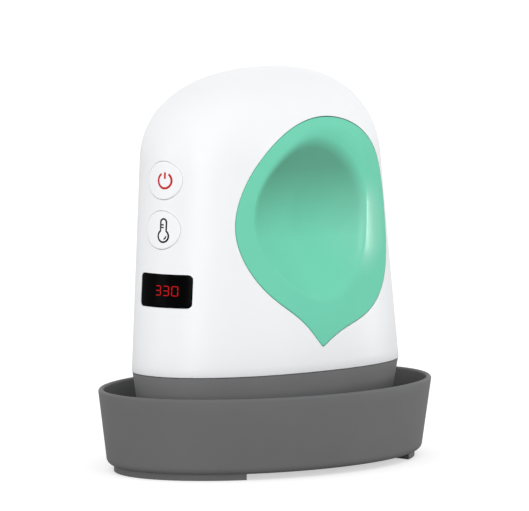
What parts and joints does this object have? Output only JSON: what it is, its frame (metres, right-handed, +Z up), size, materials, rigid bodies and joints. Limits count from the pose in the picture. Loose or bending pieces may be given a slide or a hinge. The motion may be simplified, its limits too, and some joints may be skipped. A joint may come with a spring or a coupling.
{
  "type": "mini handheld heat press",
  "caption": "Handheld heat press with teardrop finger grips, touch panel and digit display, standing in a heat-proof oval tray.",
  "frame": {"origin": "middle of the tray's footprint, on the surface that the tray stands on", "axes": "+Z up; +X along the press from the control panel to the cord inlet; +Y across, with one finger grip on each side"},
  "size_m": [0.1344, 0.0846, 0.1319],
  "materials": {
    "white_shell": "satin white moulded plastic",
    "teal_grip": "soft satin plastic",
    "button_white": "satin",
    "black_plastic": "moulded",
    "black_window": "polished black",
    "circuit_board": "solder mask",
    "screw_steel": "zinc plated",
    "relay_blue": "moulded",
    "gland_rubber": "matt",
    "grey_housing": "fine spark texture",
    "shield_steel": "rolled",
    "insulation": "ceramic fibre",
    "mica_element": "mica sheet",
    "coated_plate": "non-stick coating",
    "ceramic": "unglazed ceramic",
    "sensor_brass": "plain",
    "grey_tray": "fine spark texture",
    "mat_silicone": "matt silicone"
  },
  "bodies": {
    "base": {"tray": "grey_tray", "heat_mat": "mat_silicone"},
    "press": {"upper_shell": "white_shell", "grip_left": "teal_grip", "grip_right": "teal_grip", "power_switch": "black_plastic", "temperature_switch": "black_plastic", "display_window": "black_window", "led_display": "black_plastic", "control_board": "circuit_board", "board_screws": "screw_steel", "power_relay": "relay_blue", "cord_gland": "gland_rubber", "lower_housing": "grey_housing", "housing_screws": "screw_steel", "heat_shield": "shield_steel", "insulation_pad": "insulation", "heating_element": "mica_element", "heating_plate": "coated_plate", "plate_screws": "screw_steel", "thermal_cutout": "ceramic", "temperature_sensor": "sensor_brass"},
    "power_key": {"power_button": "button_white", "power_plunger": "black_plastic"},
    "temperature_key": {"temperature_button": "button_white", "temperature_plunger": "black_plastic"}
  },
  "joints": [
    {"name": "press_lift", "type": "slide", "parent": "base", "child": "press", "axis": [0, 0, 1], "range_m": [0, 0.12]},
    {"name": "power_press", "type": "slide", "parent": "press", "child": "power_key", "axis": [1, 0, 0], "range_m": [0, 0.0005], "stiffness_N_per_m": 800, "springref_m": -0.0005},
    {"name": "temperature_press", "type": "slide", "parent": "press", "child": "temperature_key", "axis": [1, 0, 0], "range_m": [0, 0.0005], "stiffness_N_per_m": 800, "springref_m": -0.0005}
  ]
}
